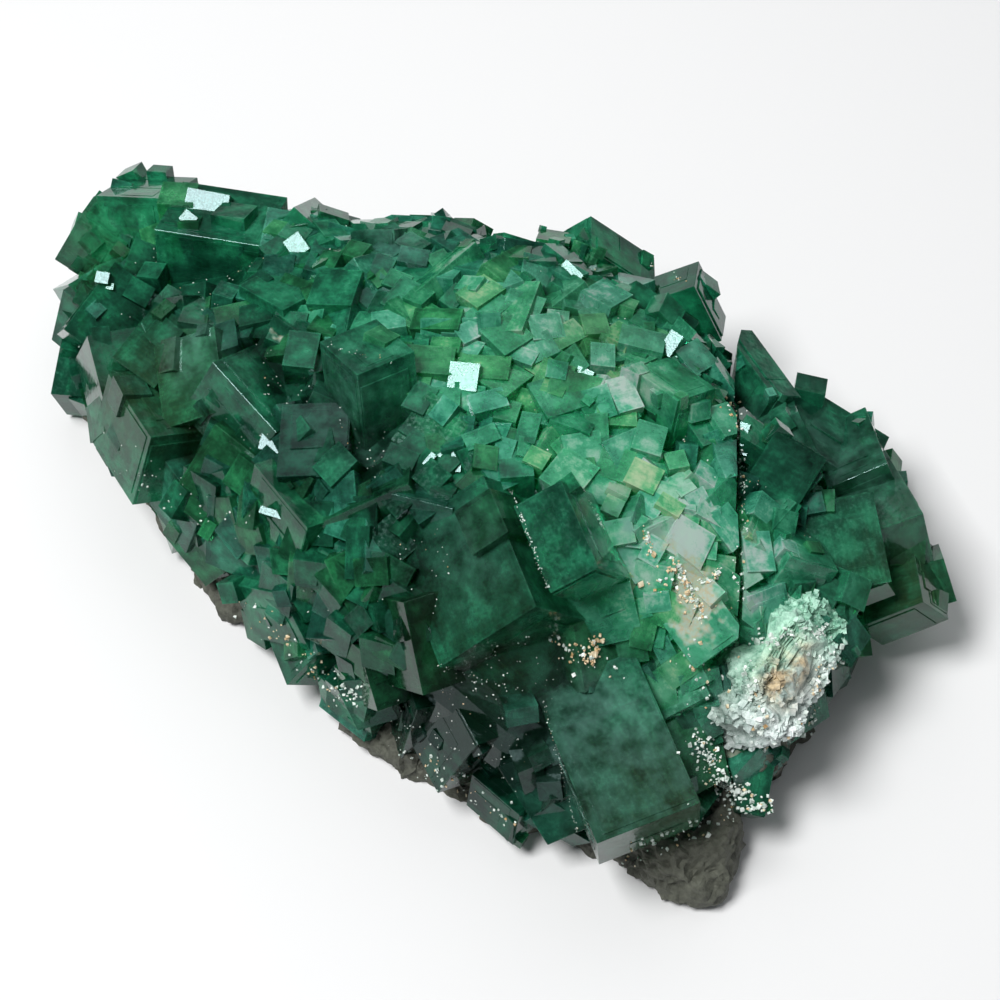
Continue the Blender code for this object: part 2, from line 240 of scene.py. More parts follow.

# Faces that mirror the key light: pixel of the photo, size in pixels, turn in degrees. Scattered
# crystals, and small ones grown on others, that have a face within GLINT_ANGLE of such a mirror are
# left out
GLINTS = (
    (208, 205, 46, 26, 12), (190, 220, 16, 13, 40), (104, 279, 14, 12, 10), (298, 247, 22, 19, 55),
    (275, 440, 24, 26, 15), (335, 525, 12, 18, 20), (325, 535, 17, 9, 20), (286, 518, 50, 7, 18),
    (465, 378, 29, 27, 8), (514, 347, 14, 12, 5), (585, 377, 17, 14, 25), (418, 460, 16, 7, 40),
    (431, 461, 14, 6, -50), (458, 462, 10, 22, 5), (485, 456, 13, 7, 10), (574, 272, 24, 8, 45),
    (672, 345, 14, 24, 35), (742, 435, 13, 22, 20), (176, 487, 10, 9, 0), (184, 532, 11, 18, 20),
    (737, 612, 9, 9, 30),
)
GLINT_ANGLE = 8.0
GLINT_DEPTH = 5.0
GLINT_STAND = 1.3
GLINT_SIDE_PIECE = 0.55
PIXEL = 0.158  # millimetres

# Further crystals: pixel of the photo, edge in millimetres, height added
EXTRA_SEED = 31
EXTRA_CRYSTALS = (
    (742, 628, 7, 1.2), (762, 612, 8, 1.0), (790, 602, 7, 1.0), (818, 598, 8, 0.6),
    (842, 615, 6, 0.6), (730, 655, 6, 0.8), (722, 690, 7, 0.8), (716, 720, 6, 0.6),
    (728, 748, 6, 0.6), (748, 765, 7, 1.2), (770, 752, 5, 1.0), (846, 640, 5, 0.8),
    (575, 248, 6, 1.0), (556, 243, 5, 0.8), (594, 256, 5, 0.6),
)

# Grains along lines of the photo: two pixels, spread in pixels, count, smallest and largest size,
# share of tan ones
GRAIN_SEED = 23
GRAIN_LINES = (
    (510, 487, 548, 589, 1.2, 70, 0.12, 0.35, 0.0), (583, 487, 604, 530, 0.8, 30, 0.1, 0.25, 0.0),
    (543, 700, 578, 835, 0.8, 70, 0.08, 0.22, 0.1), (435, 665, 520, 690, 1.5, 30, 0.1, 0.25, 0.2),
    (330, 345, 400, 365, 1.5, 20, 0.1, 0.25, 0.1), (548, 640, 625, 676, 7, 34, 0.25, 0.8, 0.4),
    (586, 664, 600, 636, 3.5, 50, 0.3, 1.0, 0.75), (696, 738, 730, 796, 7, 190, 0.15, 0.75, 0.12),
    (741, 453, 746, 533, 2, 50, 0.15, 0.5, 0.1), (752, 640, 835, 632, 5, 60, 0.3, 1.0, 0.0),
    (745, 660, 765, 745, 6, 70, 0.3, 1.1, 0.1), (835, 650, 795, 750, 6, 60, 0.3, 1.1, 0.3),
    (738, 545, 742, 610, 4, 30, 0.2, 0.6, 0.2), (646, 585, 700, 600, 8, 20, 0.3, 1.0, 0.8),
    (674, 562, 704, 620, 3.0, 100, 0.25, 0.8, 0.45), (690, 592, 718, 572, 2.5, 45, 0.25, 0.7, 0.4),
    (644, 528, 652, 552, 2.0, 24, 0.25, 0.7, 0.7), (660, 560, 690, 590, 6, 14, 0.3, 0.9, 0.7),
    (680, 640, 720, 700, 12, 30, 0.2, 0.8, 0.3), (330, 690, 358, 700, 6, 36, 0.3, 0.8, 0.1),
    (250, 600, 330, 690, 9, 50, 0.2, 0.7, 0.6), (395, 745, 520, 830, 8, 60, 0.2, 0.7, 0.3),
    (730, 790, 768, 812, 8, 80, 0.25, 0.9, 0.1), (725, 392, 742, 446, 3, 24, 0.3, 0.8, 0.4),
    (690, 285, 650, 262, 3, 16, 0.2, 0.6, 0.5), (100, 455, 240, 520, 12, 40, 0.15, 0.5, 0.1),
    (620, 860, 735, 815, 8, 50, 0.3, 0.9, 0.2),
)
DUST_TRIES = 3600
DUST_HEIGHT = 0.2
DUST_GRAIN = (0.08, 0.27)
DUST_TAN = 0.12
DUST_START = 14.0
LINE_GRAIN_SPREAD = (0.5, 1)
LINE_GRAIN_LIFT = 0.15
GRAIN_STRETCH = (0.45, 1.1)
GRAIN_CORNERS = (0.6, 1.15)

# Loose grains: name of the piece, name of its look, whether tan, dark and pale colour
GRAIN_KINDS = (
    ("white_grains", "grain_white", False, (0.5, 0.62, 0.55), (0.95, 1.0, 0.95)),
    ("tan_grains", "grain_tan", True, (0.5, 0.3, 0.12), (0.95, 0.85, 0.62)),
)

# Depth of the matrix under the crystals, at the hump's middle and at the rim
CORE_INSETS = (5.5, 9.0)
ROCK_SKIN = 0.5

# Photo's viewing angle, in the frame of the solids
CAMERA_AZIMUTH = 39.0
CAMERA_ELEVATION = 60.0
CAMERA_DISTANCE = 0.352
CAMERA_TARGET = (0.0153, -0.0073, 0.018)
CAMERA_LENS = 80.0
CAMERA_SENSOR = 36.0
CAMERA_SHIFT_Y = 0.02
CAMERA_CLIP = 0.01
PHOTO_SIDE = 1000

# Lights: azimuth and elevation, distance and side in metres, power in watts
KEY_DIRECTION = (-30, 67)
KEY_DISTANCE = 0.8
LIGHTS = (("key", KEY_DIRECTION, KEY_DISTANCE, 0.28, 7), ("overhead", (200, 50), 0.9, 1.0, 2.4))
SKY_COLOUR = (0.9, 0.95, 1.0, 1)
SKY_STRENGTH = 0.15
FLOOR_COLOUR = (0.8, 0.8, 0.8, 1)
FLOOR_ROUGHNESS = 0.9
BOUNCES = 9
DIFFUSE_BOUNCES = 3

# Outline of the ground and its raised rim, turned round the upright: radius, height
GROUND = ((0.4, 0), (1.3, 0), (1.8, 0.04), (2.2, 0.16), (2.5, 0.4), (2.7, 0.8), (2.8, 1.3))
GROUND_SPOKES = 96
BODY_MESH = (60, 120)
MOUND_MESH = (20, 36)

# Green of the crystals, from dark to light: where each colour starts and is full, and the colour
DARKEST_GREEN = (0.002, 0.022, 0.012)
GREENS = (
    (-0.6, 0.1, (0.013, 0.14, 0.075)),
    (0.1, 0.55, (0.03, 0.36, 0.18)),
    (0.55, 1.1, (0.12, 0.72, 0.4)),
    (1.0, 1.5, (0.62, 1.0, 0.8)),
)

# Leafy and milky crystals: hue where each tint starts and is full, its share, factors of the colour
HUE_TURNS = 7.3
TINTS = ((0.68, 0.85, 0.6, (1.45, 1.04, 0.62)), (0.32, 0.15, 0.8, (1.7, 1.15, 1.45)))
STREAK_STRETCH = (0.25, 2.4, 0.7)
BODY_GREEN = (0.05, 0.84, 0.64)
BODY_DENSITY = 230


def eased(x, column):
    """Value of one column of SECTIONS at x, eased between its rows."""
    x = min(max(x, SECTIONS[0][0]), SECTIONS[-1][0])
    for low, high in zip(SECTIONS, SECTIONS[1:]):
        if x <= high[0]:
            t = (x - low[0]) / (high[0] - low[0])
            t = t * t * (3 - 2 * t)
            return low[column] + (high[column] - low[column]) * t
    return SECTIONS[-1][column]


def section(x):
    """Middle, half width and crest height of the body at x."""
    end = LEFT_END if x < 0 else RIGHT_END
    closing = max(0.0, 1 - abs(x / end) ** END_POWER) ** (1 / END_POWER)
    near, far, crest = (eased(x, column) for column in (1, 2, 3))
    return (near + far) / 2, (far - near) / 2 * closing, crest * closing ** END_DROP


def body_point(along, angle, inset=0, base=0.0, top=None):
    """Point of the body's outside: along runs -1 to 1 in length, angle turns round the section."""
    end = RIGHT_END if along > 0 else -LEFT_END
    middle, half, crest = section(along * end)
    narrowing = min(1, half / NARROW)
    spread = max(half - inset * narrowing, 0)
    side = math.copysign(abs(math.cos(angle)) ** SECTION_POWER, math.cos(angle))
    height = crest - inset if top is None else top * min(1, crest / LOW)
    height = max(height - base, 0) if angle > 0 else -UNDERCUT * narrowing
    rise = height * abs(math.sin(angle)) ** SECTION_POWER
    x, y = along * (end - inset), middle + spread * side
    return Vector((x, y, base + rise * (1 - SHELF_DROP * on_shelf(x, y))))


def on_shelf(x, y):
    """1 on the lower shelf at the near right, 0 away from it."""
    right = min(max((x - SHELF_START[0]) / SHELF_RUN, 0), 1)
    near = min(max((SHELF_START[1] - y) / SHELF_RUN, 0), 1)
    return right * near


def hump_away(x, y):
    """0 at the middle of the hump of small crystals, 1 at its edge and beyond."""
    across = (x - HUMP_CENTRE[0]) / HUMP_RADII[0]
    along = (y - HUMP_CENTRE[1]) / HUMP_RADII[1]
    return min(1.0, math.hypot(across, along))


def towards(azimuth, elevation):
    """Direction from the object, azimuth 0 at -Y and 90 at +X."""
    around, up = math.radians(azimuth), math.radians(elevation)
    return Vector((math.sin(around) * math.cos(up), -math.cos(around) * math.cos(up), math.sin(up)))


def camera_place():
    """Matrix of the camera at the photo's viewing angle, in metres."""
    back = towards(CAMERA_AZIMUTH, CAMERA_ELEVATION)
    turn = back.to_track_quat("Z", "Y").to_matrix().to_4x4()
    return Matrix.Translation(Vector(CAMERA_TARGET) + back * CAMERA_DISTANCE) @ turn


def seen_at(pixel, trees):
    """Point of some surfaces, and its normal, that shows at a pixel of the photo, in millimetres."""
    stand = camera_place()
    across = (pixel[0] / PHOTO_SIDE - 0.5) * CAMERA_SENSOR
    up = (0.5 + CAMERA_SHIFT_Y - pixel[1] / PHOTO_SIDE) * CAMERA_SENSOR
    ray = (stand.to_3x3() @ Vector((across, up, -CAMERA_LENS))).normalized()
    return first_hit(trees, stand.translation, ray)


def first_hit(trees, start, way):
    """Nearest point of some surfaces along a ray in metres, and its normal, in millimetres."""
    hits = [hit for hit in (tree.ray_cast(start, way) for tree in trees) if hit[0]]
    if not hits:
        return None
    place, normal, _, _ = min(hits, key=lambda hit: hit[3])
    return place / MM + Vector(MIDDLE), normal


def spot_at(pixel):
    """Point of the solids that shows at a pixel of the photo."""
    seen = seen_at(pixel, solid_trees)
    if not seen:
        raise ValueError(f"nothing of the cluster shows at {pixel}")
    return seen[0]


def spots_at(places, spots):
    """Strength of round spots, each a place, radius and strength, at an array of points."""
    total = np.zeros(len(places))
    for centre, radius, strength in spots:
        away = ((places - np.array(centre)) ** 2).sum(axis=1)
        total += strength * np.exp(-away / (2 * radius * radius))
    return np.minimum(total, SPOT_LIMIT)


def placed(centre, turn):
    """Matrix of a centre in millimetres and a turn in degrees."""
    angles = [math.radians(angle) for angle in turn]
    return Matrix.Translation(centre) @ Euler(angles).to_matrix().to_4x4()


def within(point, crystal):
    """True if the point lies inside the crystal's box."""
    centre, turn, size = crystal
    local = placed(centre, turn).inverted() @ point
    return all(abs(c) < s / 2 for c, s in zip(local, size))


def covered(point, normal, crystals):
    """True if a large crystal lies at the point, or just under it, or just behind it."""
    spots = [point - way * step for way in (normal, Vector(OPEN_SIDE)) for step in COVER_STEPS]
    return any(within(spot, crystal) for spot in spots for crystal in crystals)


def right_of_cleft(x, y):
    """Distance to the right of the cleft's line, negative on the left."""
    distances = []
    for (ax, ay), (bx, by) in zip(CLEFT, CLEFT[1:]):
        run = Vector((bx - ax, by - ay))
        offset = Vector((x - ax, y - ay))
        t = min(max(offset.dot(run) / run.length_squared, 0), 1)
        away = (offset - run * t).length
        distances.append(math.copysign(away, run.x * offset.y - run.y * offset.x))
    return min(distances, key=abs)


def surface_places(rng, tries):
    """Random places on the body's outside, each with its normal, spread evenly by area."""
    places = []
    along_step, angle_step = SURFACE_STEP
    while len(places) < tries:
        along, angle = rng.uniform(*BODY_LENGTH), rng.uniform(*BODY_ROUND) * math.pi
        place = body_point(along, angle)
        lengthwise = body_point(along + along_step, angle) - place
        around = body_point(along, angle + angle_step) - place
        normal = around.cross(lengthwise)
        if rng.random() * FULLEST_PATCH < normal.length:
            places.append((place, normal.normalized()))
    return places


def crystal_of(centre, turn, size):
    """Centre, turn in degrees and size of a crystal whose turn is given as a matrix."""
    return tuple(centre), tuple(math.degrees(a) for a in turn.to_euler()), tuple(size)


def standing(place, normal, turn, size, height):
    """Crystal whose highest point is a height above the surface."""
    reach = sum(abs(turn.col[k].dot(normal)) * size[k] for k in range(3)) / 2
    return crystal_of(place + normal * (height - reach), turn, size)


def medium_box(rng, place, normal, edge):
    """One scattered crystal standing out of the surface, tilted to show a corner."""
    facing = normal.to_track_quat("Z", "X").to_matrix()
    spin = Matrix.Rotation(rng.uniform(0, math.tau), 3, "Z")
    tip = Matrix.Rotation(math.radians(rng.uniform(*SCATTER_LEAN)), 3, "X")
    roll = Matrix.Rotation(math.radians(rng.uniform(0, 90)), 3, "Z")
    size = [edge * rng.uniform(*SCATTER_STRETCH) for _ in range(3)]
    height = edge * rng.uniform(*SCATTER_STAND)
    return standing(place, normal, facing @ spin @ tip @ roll, size, height)


def fine_box(rng, place, normal, edge):
    """One small crystal, nearly parallel to its neighbours and nearly level with them."""
    facing = normal.to_track_quat("Z", "X").to_matrix()
    around = rng.uniform(0, math.tau)
    tip = Matrix.Rotation(math.radians(rng.gauss(0, FINE_LEAN)), 3, "X")
    settled = math.radians(rng.gauss(FINE_GRAIN, FINE_GRAIN_SPREAD)) - around
    turn = facing @ Matrix.Rotation(around, 3, "Z") @ tip @ Matrix.Rotation(settled, 3, "Z")
    size = [edge * rng.uniform(*FINE_STRETCH) for _ in range(3)]
    return standing(place, normal, turn, size, edge * rng.uniform(*FINE_STAND))


def grown_on(crystal, offset, size, twist=(0, 0, 0)):
    """A crystal placed in the frame of another one, twisted by a few degrees."""
    stand = placed(crystal[0], crystal[1]) @ placed(offset, twist)
    return crystal_of(stand.translation, stand, size)


def growth_steps(rng, crystal, count):
    """Thin plates on the faces of a crystal, each covering a part of its face."""
    plates = []
    for _ in range(count):
        axis, side, extents = rng.randrange(3), rng.choice((-1, 1)), crystal[2]
        size = [extent * rng.uniform(*STEP_SHARE) for extent in extents]
        offset = [(extent - s) / 2 * rng.uniform(-STEP_SHIFT, STEP_SHIFT)
                  for extent, s in zip(extents, size)]
        size[axis] = STEP_DEPTH
        offset[axis] = side * ((extents[axis] - STEP_DEPTH) / 2 + rng.uniform(*STEP_RISE))
        plates.append(grown_on(crystal, offset, size))
    return plates


def offspring(rng, crystal, count):
    """Small crystals partly sunk in the faces of a larger one, nearly parallel to it."""
    young = []
    for _ in range(count):
        axis, side, extents = rng.randrange(3), rng.choice((-1, 1)), crystal[2]
        edge = min(extents) * rng.uniform(*CHILD_SHARE)
        offset = [extent / 2 * rng.uniform(-1, 1) for extent in extents]
        offset[axis] = side * (extents[axis] / 2 - edge * rng.uniform(*CHILD_SUNK))
        twist = [rng.gauss(0, CHILD_TWIST) for _ in range(3)]
        size = [edge * rng.uniform(*CHILD_STRETCH) for _ in range(3)]
        young.append(grown_on(crystal, offset, size, twist))
    return young


def overgrown(crystals, steps, children):
    """Crystals with growth steps and small crystals on them, where these stay in the solids' box."""
    rng = random.Random(GROWTH_SEED)
    grown = []
    for crystal in crystals:
        young = growth_steps(rng, crystal, steps) + offspring(rng, crystal, children)
        grown += [crystal] + [one for one in young if in_box(one) and not mirrors_key(one)]
    return grown


def in_box(crystal):
    """True if no corner of a crystal leaves the box of the solids."""
    low, high = ([c / MM + m for c, m in zip(corner, MIDDLE)] for corner in cad_box)
    stand = placed(crystal[0], crystal[1])
    corners = [stand @ Vector([s * h / 2 for s, h in zip(signs, crystal[2])]) for signs in CORNERS]
    return all(lo + BOX_MARGIN < c < hi - BOX_MARGIN
               for corner in corners for c, lo, hi in zip(corner, low, high))


def mirror_normal(place):
    """Direction that a face at a place must have to mirror the key light to the camera."""
    return ((key_place - place).normalized() + (eye_place - place).normalized()).normalized()


def mirrors_key(crystal):
    """True if a face of the crystal mirrors the key light to the camera."""
    centre, turn, _ = crystal
    faces = placed(centre, turn).to_3x3()
    wanted = mirror_normal(Vector(centre))
    return any(abs(faces.col[k].dot(wanted)) > math.cos(math.radians(GLINT_ANGLE)) for k in range(3))


def glint_crystals():
    """Crystals with a face that mirrors the key light, each with a smaller one that breaks its edge."""
    side = camera_place().to_3x3() @ Vector((1, 0, 0))
    made = []
    for x, y, width, depth, turn in GLINTS:
        place, _ = seen_at((x, y), solid_trees)
        up = mirror_normal(place)
        across = (side - up * side.dot(up)).normalized()
        facing = Matrix((across, up.cross(across), up)).transposed()
        facing = facing @ Matrix.Rotation(math.radians(-turn), 3, "Z")
        extents = (width * PIXEL, depth * PIXEL, GLINT_DEPTH)
        glint = crystal_of(place + up * (GLINT_STAND - GLINT_DEPTH / 2), facing, extents)
        corner = [extents[0] * GLINT_SIDE_PIECE, -extents[1] * GLINT_SIDE_PIECE, -BEVEL]
        made += [glint, grown_on(glint, corner, [e * GLINT_SIDE_PIECE for e in extents])]
    return made


def extra_crystals():
    """Crystals round the quartz, which hide its rim, and on the far skyline."""
    rng = random.Random(EXTRA_SEED)
    made = []
    for x, y, edge, stand in EXTRA_CRYSTALS:
        place, normal = seen_at((x, y), solid_trees)
        normal = (normal + body_tree.find_nearest(place)[1]).normalized()
        made.append(medium_box(rng, place + normal * stand, normal, edge))
    return made


def scattered(seed, tries, spacing, edges, grow, large):
    """Scattered crystals of the main crust and of the part right of the cleft, clear of large ones."""
    rng = random.Random(seed)
    grid, crust, right = {}, [], []
    for place, normal in surface_places(rng, tries):
        edge = over_hump(place, *edges) * rng.uniform(*SCATTER_SPREAD)
        cell = tuple(int(c // GRID_CELL) for c in place)
        around = [near for step in NEIGHBOURS
                  for near in grid.get(tuple(c + k for c, k in zip(cell, step)), ())]
        if any((place - p).length < spacing * (edge + e) / 2 for p, e in around):
            continue
        if covered(place, normal, large) or place.z < LOWEST_CRYSTAL:
            continue
        crystal = grow(rng, place, normal, edge)
        grid.setdefault(cell, []).append((place, edge))
        if mirrors_key(crystal):
            continue
        side = right_of_cleft(place.x, place.y)
        if side < -CLEFT_MARGIN * edge:
            crust.append(crystal)
        elif side > CLEFT_MARGIN * edge:
            right.append(crystal)
    return crust, right


def over_hump(place, middle, rim):
    """Value that goes from middle at the hump's middle to rim at its edge and beyond."""
    return middle + (rim - middle) * hump_away(place.x, place.y) ** 2


def mound_mesh(inset_at, base, top=None, fineness=MOUND_MESH):
    """Low mound of the body's outline, drawn in by an inset, that bulges a little below base."""
    bm = bmesh.new()
    rings, spokes = fineness
    bmesh.ops.create_uvsphere(bm, u_segments=spokes, v_segments=rings, radius=1)
    for vert in bm.verts:
        angle = math.atan2(vert.co.y, vert.co.x)
        outside = body_point(vert.co.z, angle, 0, base, top)
        vert.co = body_point(vert.co.z, angle, inset_at(outside), base, top)
    return bm


def box_mesh(crystal):
    """One crystal, with narrow bevels unless it is thin or small."""
    centre, turn, size = crystal
    bm = bmesh.new()
    bmesh.ops.create_cube(bm, size=1, matrix=Matrix.Diagonal((*size, 1)))
    if min(size) > BEVEL_FROM:
        bmesh.ops.bevel(bm, geom=bm.edges[:], offset=BEVEL, segments=1, affect="EDGES", profile=0.5)
    bm.transform(placed(centre, turn))
    return bm


def add_lump(bm, centre, size, level, squareness=LUMP_SQUARENESS):
    """Add one rounded block to a mesh."""
    made = bmesh.ops.create_icosphere(bm, subdivisions=level, radius=0.5)
    for vert in made["verts"]:
        swollen = [math.copysign(abs(2 * c) ** squareness, c) / 2 for c in vert.co]
        vert.co = Vector(centre) + Vector([c * s for c, s in zip(swollen, size)])


def linked(name, data, group=None):
    """New object in a collection, or else in the scene."""
    made = bpy.data.objects.new(name, data)
    (group or bpy.context.scene.collection).objects.link(made)
    return made


def new_object(name, bm, group=None):
    """Turn a mesh under construction into an object."""
    mesh = bpy.data.meshes.new(name)
    bm.to_mesh(mesh)
    bm.free()
    return linked(name, mesh, group)


def working_solid(name, bm):
    """Object among the solids under construction."""
    return new_object(name, bm, working)


def changed(thing, kind, **settings):
    """Give a working solid one modifier and apply it."""
    step = thing.modifiers.new(kind.title(), kind)
    for key, value in settings.items():
        setattr(step, key, value)
    graph = bpy.context.evaluated_depsgraph_get()
    thing.data = bpy.data.meshes.new_from_object(thing.evaluated_get(graph))
    thing.modifiers.clear()
    return thing


def combine(base, operation, other):
    """Join, cut or clip base with one other solid, which is used up."""
    changed(base, "BOOLEAN", operation=operation, solver="MANIFOLD", object=other)
    bpy.data.objects.remove(other)
    return base


def fuse(base, others):
    """Join any number of solids, which may cross each other, to base."""
    group = new_collection("crystals_to_fuse")
    for other in others:
        working.objects.unlink(other)
        group.objects.link(other)
    changed(base, "BOOLEAN", operation="UNION", solver="MANIFOLD",
            operand_type="COLLECTION", collection=group)
    for other in others:
        bpy.data.objects.remove(other)
    bpy.data.collections.remove(group)
    return base


def new_collection(name):
    """Empty collection in the scene."""
    made = bpy.data.collections.new(name)
    bpy.context.scene.collection.children.link(made)
    return made


def below(level):
    """Everything lower than a level."""
    bm = bmesh.new()
    shift = Matrix.Translation((0, 0, level - FLOOR_BLOCK / 2))
    bmesh.ops.create_cube(bm, size=FLOOR_BLOCK, matrix=shift)
    return working_solid("below", bm)


def right_side(offset):
    """Everything right of the cleft, its wall moved right by offset."""
    bm = bmesh.new()
    low, high = CLEFT_HEIGHTS
    corners = [bm.verts.new((x + offset, y, low)) for x, y in CLEFT + CLEFT_OUTER]
    floor = bm.faces.new(corners)
    walls = bmesh.ops.extrude_face_region(bm, geom=[floor])["geom"]
    for vert in (g for g in walls if isinstance(g, bmesh.types.BMVert)):
        vert.co.z = high
    bmesh.ops.recalc_face_normals(bm, faces=bm.faces)
    return working_solid("right side", bm)


def rock_solid(shrink):
    """The matrix: a wide flat plinth, a core under the crystals and spurs that show."""
    core = working_solid("core", mound_mesh(lambda p: over_hump(p, *CORE_INSETS) + shrink, 0))
    plinth = mound_mesh(lambda p: PLINTH_INSET + shrink, 0, PLINTH_HEIGHT - shrink)
    combine(core, "UNION", working_solid("plinth", plinth))
    for centre, size in ROCK_SPURS:
        bm = bmesh.new()
        add_lump(bm, centre, [s - 2 * shrink for s in size], SPUR_LEVEL)
        combine(core, "UNION", working_solid("spur", bm))
    return core


def roughened(thing, layers):
    """Move a working solid's points along their normals by layers of noise: kind, size, amount."""
    bm = bmesh.new()
    bm.from_mesh(thing.data)
    bm.normal_update()
    moves = [sum(noise.noise(vert.co / size, noise_basis=kind) * amount
                 for kind, size, amount in layers) for vert in bm.verts]
    normals = [vert.normal.copy() for vert in bm.verts]
    for vert, normal, move in zip(bm.verts, normals, moves):
        vert.co += normal * move
    bm.to_mesh(thing.data)
    bm.free()
    return thing


def fused_crystals(name, crystals, side_step):
    """Mantle and crystals joined, and cut to one side of the cleft and to the rock's inside."""
    body = working_solid(name, mound_mesh(lambda p: MANTLE_INSET, MANTLE_BASE))
    fuse(body, [working_solid("crystal", box_mesh(crystal)) for crystal in crystals])
    combine(body, *side_step)
    combine(body, "DIFFERENCE", rock_solid(ROCK_SKIN))
    return combine(body, "DIFFERENCE", below(FLOOR_CLEARANCE))


def largest_piece(bm):
    """Drop the loose chips that a cut leaves."""
    left, pieces = set(bm.faces), []
    while left:
        queue = [left.pop()]
        piece = set(queue)
        while queue:
            for edge in queue.pop().edges:
                fresh = [f for f in edge.link_faces if f in left]
                left.difference_update(fresh)
                piece.update(fresh)
                queue.extend(fresh)
        pieces.append(piece)
    pieces.sort(key=len)
    loose = [face for piece in pieces[:-1] for face in piece]
    bmesh.ops.delete(bm, geom=loose, context="FACES")


def mark_crystals(mesh, crystals):
    """Note each face's crystal: its tone, its size and where in it the face's corners lie."""
    count = len(mesh.polygons)
    centres = read(mesh.polygons, "center")
    order = np.argsort(centres[:, 0], kind="stable")
    sorted_x = centres[order, 0]
    tone = np.full(count, PLAIN_TONE, np.float32)
    half = np.full((count, 3), 1.0, np.float32)
    frames = np.tile(np.eye(4, dtype=np.float32), (count, 1, 1))
    rng = random.Random(TONE_SEED)
    for centre, turn, size in crystals:
        if min(size) != STEP_DEPTH:
            shade = PLAIN_TONE if (centre, turn, size) in LARGE_CRYSTALS else rng.random()
        back = np.array(placed(centre, turn).inverted())
        reach = Vector(size).length / 2 + FACE_SLACK
        first, last = np.searchsorted(sorted_x, (centre[0] - reach, centre[0] + reach))
        near = order[first:last]
        local = centres[near] @ back[:3, :3].T + back[:3, 3]
        left = np.array(size) / 2 - np.abs(local)
        owned = near[(left.min(axis=1) > -FACE_SLACK) & (left.min(axis=1) < FACE_SLACK)]
        tone[owned], half[owned], frames[owned] = shade, np.array(size) / 2, back
    ends = read(mesh.loops, "vertex_index", 1, np.int32)[:, 0]
    own = frames[np.repeat(np.arange(count), 3)]
    place = np.einsum("nij,nj->ni", own[:, :3, :3], read(mesh.vertices, "co")[ends]) + own[:, :3, 3]
    note(mesh, "crystal_tone", "FLOAT", "FACE", tone)
    note(mesh, "crystal_half", "FLOAT_VECTOR", "FACE", half)
    note(mesh, "crystal_place", "FLOAT_VECTOR", "CORNER", place)


def note(mesh, name, kind, domain, values):
    """Store an array as an attribute of a mesh."""
    attribute = mesh.attributes.new(name, kind, domain)
    key = "value" if kind == "FLOAT" else "vector"
    attribute.data.foreach_set(key, np.ascontiguousarray(values, np.float32).ravel())


def read(items, key, width=3, kind=np.float32):
    """Values of all points, corners or faces of a mesh as an array."""
    values = np.zeros(len(items) * width, kind)
    items.foreach_get(key, values)
    return values.reshape(-1, width)


def mark_colours(mesh):
    """Note each point's strength of every kind of spot, and its height off the body's surface."""
    points = read(mesh.vertices, "co")
    for name, spots in colour_spots.items():
        note(mesh, name, "FLOAT", "POINT", spots_at(points, spots))
    heights = []
    for point in points:
        foot, normal, _, _ = body_tree.find_nearest(Vector(point))
        heights.append((Vector(point) - foot).dot(normal))
    note(mesh, "height", "FLOAT", "POINT", np.array(heights))


def finished(bm, name, look, node=None, crystals=()):
    """Scale a mesh to metres, give it its name and look, and let it stand for its node."""
    bmesh.ops.triangulate(bm, faces=bm.faces)
    made = new_object(name, bm)
    mesh = made.data
    mesh.validate()
    mark_colours(mesh)
    if crystals:
        mark_crystals(mesh, crystals)
    mesh.transform(Matrix.Scale(MM, 4) @ Matrix.Translation(-Vector(MIDDLE)))
    mesh.materials.append(look)
    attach(made, "root")
    if node:
        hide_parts(node)
    return made


def whole(raw):
    """Mesh of a working solid, without the loose chips that a cut leaves."""
    bm = bmesh.new()
    bm.from_mesh(raw.data)
    bpy.data.objects.remove(raw)
    largest_piece(bm)
    return bm


def tree_of(thing):
    """Search tree of a finished piece."""
    return BVHTree.FromPolygons([v.co for v in thing.data.vertices],
                                [p.vertices[:] for p in thing.data.polygons])


def add_grain(bm, rng, place, size):
    """Add one broken grain, a small box with its corners pushed about."""
    turn = Euler([rng.uniform(0, math.tau) for _ in range(3)]).to_matrix().to_4x4()
    extents = [size * rng.uniform(*GRAIN_STRETCH) for _ in range(3)]
    stand = Matrix.Translation(place) @ turn @ Matrix.Diagonal((*extents, 1))
    made = bmesh.ops.create_cube(bm, size=1)
    for vert in made["verts"]:
        vert.co = stand @ (vert.co * rng.uniform(*GRAIN_CORNERS))


def line_grains(rng, trees):
    """Grains that lie along lines of the photo: place, size and whether it is tan."""
    grains = []
    for x0, y0, x1, y1, spread, count, small, large, tan in GRAIN_LINES:
        for _ in range(count):
            t = rng.random()
            x = x0 + (x1 - x0) * t + rng.gauss(0, spread)
            y = y0 + (y1 - y0) * t + rng.gauss(0, spread)
            size = rng.uniform(small, large) * rng.uniform(*LINE_GRAIN_SPREAD)
            is_tan = rng.random() < tan
            seen = seen_at((x, y), trees)
            if seen:
                grains.append((seen[0] + seen[1] * size * LINE_GRAIN_LIFT, size, is_tan))
    return grains


def dust_grains(rng, trees):
    """Specks that lie in the gaps between crystals, all over the body."""
    grains = []
    for place, normal in surface_places(rng, DUST_TRIES):
        size = rng.uniform(*DUST_GRAIN)
        is_tan = rng.random() < DUST_TAN
        start = (place + normal * DUST_START - Vector(MIDDLE)) * MM
        seen = first_hit(trees, start, -normal)
        if seen and (seen[0] - place).dot(normal) < DUST_HEIGHT:
            grains.append((seen[0], size, is_tan))
    return grains


def grain_mesh(grains):
    """All the grains of one colour."""
    rng = random.Random(GRAIN_SEED)
    bm = bmesh.new()
    for place, size, _ in grains:
        add_grain(bm, rng, place, size)
    return bm


